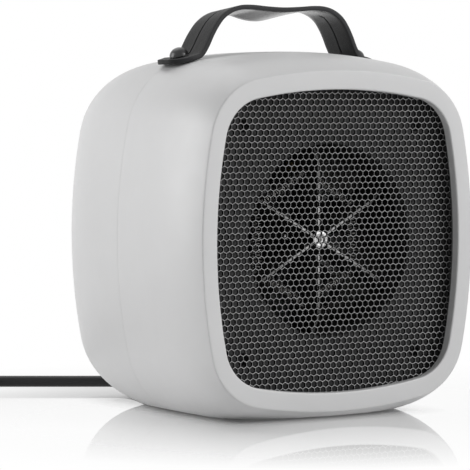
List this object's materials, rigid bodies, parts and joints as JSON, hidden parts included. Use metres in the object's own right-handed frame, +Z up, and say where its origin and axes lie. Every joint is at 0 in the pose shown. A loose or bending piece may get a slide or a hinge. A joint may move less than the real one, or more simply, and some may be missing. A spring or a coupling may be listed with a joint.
{
  "type": "fan heater",
  "caption": "Compact fan heater: a bulged square casing with a recessed honeycomb front, a heating coil and fan behind it, and a strap handle on top.",
  "frame": {"origin": "on the floor under the middle of the casing", "axes": "+Z up, -Y towards the mesh front, +X to the right of someone facing the front"},
  "size_m": [0.2965, 0.2699, 0.2108],
  "materials": {
    "casing_plastic": "satin",
    "dark_plastic": "satin",
    "black_steel": "satin",
    "plain_steel": "satin",
    "mica": "matte",
    "heating_wire": "satin",
    "brass": "satin",
    "copper_winding": "satin",
    "strap_leather": "satin",
    "black_rubber": "matte"
  },
  "bodies": {
    "housing": {"air_duct": "plain_steel", "baffle_plate": "dark_plastic", "bracket_screw_left": "plain_steel", "bracket_screw_right": "plain_steel", "cord_coil": "black_rubber", "cord_gland": "black_rubber", "cord_tail": "black_rubber", "cord_tie": "black_rubber", "element_hub": "plain_steel", "element_terminal_left": "brass", "element_terminal_right": "brass", "foot_front_left": "black_rubber", "foot_front_right": "black_rubber", "foot_rear_left": "black_rubber", "foot_rear_right": "black_rubber", "front_bezel": "casing_plastic", "front_grille": "black_steel", "front_shell": "casing_plastic", "handle_strap": "strap_leather", "heating_coil": "heating_wire", "housing_screw_left_high": "plain_steel", "housing_screw_left_low": "plain_steel", "housing_screw_right_high": "plain_steel", "housing_screw_right_low": "plain_steel", "mains_cord": "black_rubber", "mica_frame": "mica", "motor_bracket": "plain_steel", "motor_bridge_front": "plain_steel", "motor_bridge_rear": "plain_steel", "motor_screw_left": "plain_steel", "motor_screw_right": "plain_steel", "motor_stack": "plain_steel", "motor_winding": "copper_winding", "plug_body": "black_rubber", "plug_pin_inner": "brass", "plug_pin_outer": "brass", "rear_shell": "casing_plastic", "rivet_washer_left": "plain_steel", "rivet_washer_right": "plain_steel", "strap_rivet_left": "black_steel", "strap_rivet_right": "black_steel", "switch_housing": "dark_plastic", "terminal_block": "mica", "thermal_cutout": "dark_plastic", "thermal_fuse": "plain_steel", "tip_switch_housing": "dark_plastic", "wire_live": "copper_winding", "wire_switched": "copper_winding"},
    "fan": {"fan_impeller": "dark_plastic", "motor_shaft": "plain_steel", "motor_rotor": "plain_steel"},
    "rocker": {"switch_rocker": "dark_plastic"},
    "plunger": {"tip_plunger": "dark_plastic"}
  },
  "joints": [
    {"name": "fan_spin", "type": "hinge", "parent": "housing", "child": "fan", "pos_m": [0, -0.0188, 0.0904], "axis": [0, 1, 0], "continuous": true},
    {"name": "rocker_tilt", "type": "hinge", "parent": "housing", "child": "rocker", "pos_m": [0, 0.07321, 0.1464], "axis": [-1, 0, 0], "range_deg": [0, 18]},
    {"name": "plunger_travel", "type": "slide", "parent": "housing", "child": "plunger", "axis": [0, 0, -1], "range_m": [0, 0.004], "stiffness_N_per_m": 60, "springref_m": 0.006}
  ]
}
